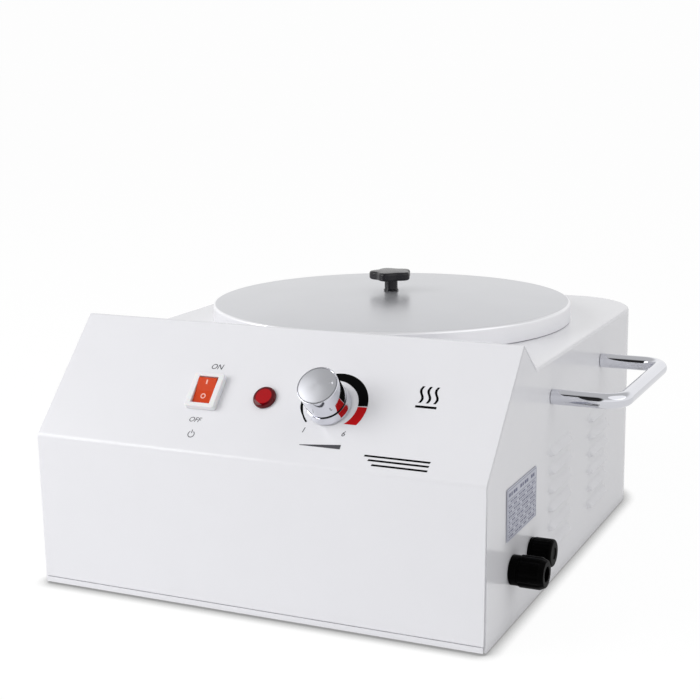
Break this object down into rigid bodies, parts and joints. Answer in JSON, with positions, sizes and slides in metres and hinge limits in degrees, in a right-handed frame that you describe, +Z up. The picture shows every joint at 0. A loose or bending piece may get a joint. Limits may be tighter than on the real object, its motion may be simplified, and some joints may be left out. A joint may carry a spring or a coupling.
{
  "type": "wax heater",
  "caption": "Single-pot salon wax heater: sloping control panel with rocker, lamp and thermostat knob, lift-out pot under a domed lid, and side bow handles.",
  "frame": {"origin": "on the ground under the middle of the housing's length and width", "axes": "+Z up; the sloping control panel faces -Y; +X is to the right of someone facing the panel"},
  "size_m": [0.4096, 0.3716, 0.1868],
  "materials": {
    "white_enamel": "smooth powder coat",
    "satin_aluminium": "satin",
    "spun_aluminium": "spun",
    "chrome": "polished",
    "zinc": "zinc plated",
    "black_nylon": "moulded nylon",
    "black_gloss": "polished moulding",
    "white_plastic": "moulded",
    "orange_plastic": "translucent moulding",
    "red_lens": "translucent lens",
    "mineral_wool": "pressed fibre",
    "rubber": "matt",
    "bakelite": "moulded",
    "brass": "bright",
    "copper": "bright copper",
    "glass": "clear",
    "blue_wire": "wire insulation",
    "brown_wire": "wire insulation"
  },
  "bodies": {
    "housing": {"console_panel": "white_enamel", "top_deck": "white_enamel", "side_wrap": "white_enamel", "base_tray": "white_enamel", "heat_well": "zinc", "insulation_sleeve": "mineral_wool", "insulation_board": "mineral_wool", "hot_plate": "satin_aluminium", "heating_element": "copper", "clamp_plate": "zinc", "clamp_bolt": "zinc", "thermal_cutout": "bakelite", "sensor_bulb": "copper", "bulb_clip": "zinc", "capillary_tube": "copper", "switch_body": "white_plastic", "switch_terminal_live": "brass", "switch_terminal_load": "brass", "lamp_lens": "red_lens", "lamp_body": "bakelite", "lamp_clip": "zinc", "thermostat_body": "bakelite", "thermostat_nut": "zinc", "cable_gland": "black_nylon", "gland_nut": "black_nylon", "gland_locknut": "black_nylon", "fuse_holder": "black_nylon", "fuse_locknut": "zinc", "rating_plate": "satin_aluminium", "handle_right": "chrome", "handle_left": "chrome", "terminal_block": "white_plastic", "earth_stud": "brass", "earth_nut": "brass", "live_wire": "brown_wire", "heater_wire": "blue_wire", "foot_front_left": "rubber", "foot_screw_front_left": "zinc", "foot_front_right": "rubber", "foot_screw_front_right": "zinc", "foot_rear_left": "rubber", "foot_screw_rear_left": "zinc", "foot_rear_right": "rubber", "foot_screw_rear_right": "zinc", "handle_screw_right_front": "zinc", "handle_screw_right_rear": "zinc", "handle_screw_left_front": "zinc", "handle_screw_left_rear": "zinc"},
    "pot": {"wax_pot": "spun_aluminium"},
    "lid": {"lid": "satin_aluminium", "lid_knob_stem": "black_gloss", "lid_knob": "black_gloss", "lid_knob_screw": "zinc"},
    "rocker": {"switch_rocker": "orange_plastic"},
    "knob": {"thermostat_shaft": "zinc", "thermostat_knob": "chrome", "knob_cap": "satin_aluminium"},
    "fuse_carrier": {"fuse_link": "glass"},
    "fuse_cap": {"fuse_cap": "black_nylon"}
  },
  "joints": [
    {"name": "power_rocker", "type": "hinge", "parent": "housing", "child": "rocker", "pos_m": [-0.04349, -0.15645, 0.13407], "axis": [-1, 0, 0], "range_deg": [0, 18]},
    {"name": "thermostat_turn", "type": "hinge", "parent": "housing", "child": "knob", "pos_m": [0.04359, -0.15655, 0.13309], "axis": [0, -0.7244, 0.6894], "range_deg": [-57.5, 212.5]},
    {"name": "pot_lift", "type": "slide", "parent": "housing", "child": "pot", "axis": [0, 0, 1], "range_m": [0, 0.13]},
    {"name": "lid_lift", "type": "slide", "parent": "pot", "child": "lid", "axis": [0, 0, 1], "range_m": [0, 0.08]},
    {"name": "fuse_pull", "type": "slide", "parent": "housing", "child": "fuse_carrier", "axis": [1, 0, 0], "range_m": [0, 0.03]},
    {"name": "fuse_cap_turn", "type": "hinge", "parent": "fuse_carrier", "child": "fuse_cap", "pos_m": [0.155, -0.10085, 0.0372], "axis": [1, 0, 0], "range_deg": [0, 90]}
  ]
}
